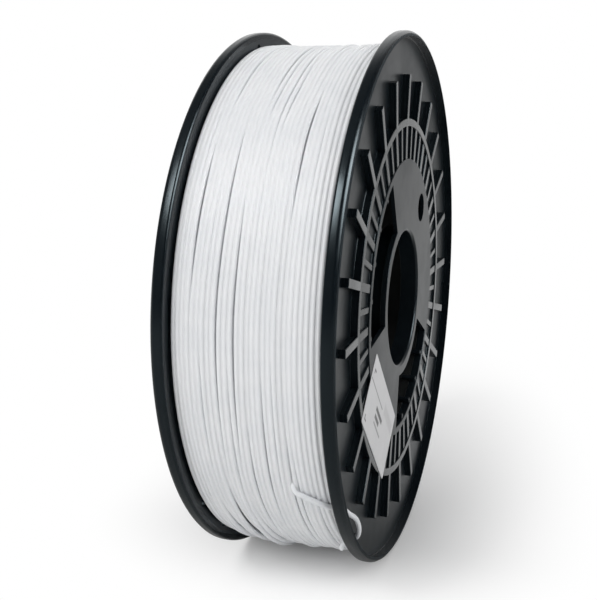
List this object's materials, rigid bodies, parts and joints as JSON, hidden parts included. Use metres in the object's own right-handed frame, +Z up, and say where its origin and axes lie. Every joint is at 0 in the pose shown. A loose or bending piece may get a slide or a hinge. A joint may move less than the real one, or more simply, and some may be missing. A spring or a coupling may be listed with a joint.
{
  "type": "filament spool",
  "caption": "Ribbed plastic spool with hub windows and a driver hole, wound full of pale filament whose cut end is threaded through its edge.",
  "frame": {"origin": "middle of the bore, halfway between the two flanges", "axes": "+X along the spool's axis towards the flange with the label, +Z up when the spool stands on its rims"},
  "size_m": [0.06, 0.2, 0.2],
  "materials": {
    "spool_plastic": "black, satin moulded",
    "core_plastic": "black, moulded",
    "filament": "satin extruded",
    "label_paper": "white film, satin"
  },
  "bodies": {
    "root": {"flange_right": "spool_plastic", "flange_left": "spool_plastic", "core_tube": "core_plastic", "filament_pack": "filament", "filament_winding": "filament", "filament_tail": "filament", "label": "label_paper"}
  },
  "joints": []
}
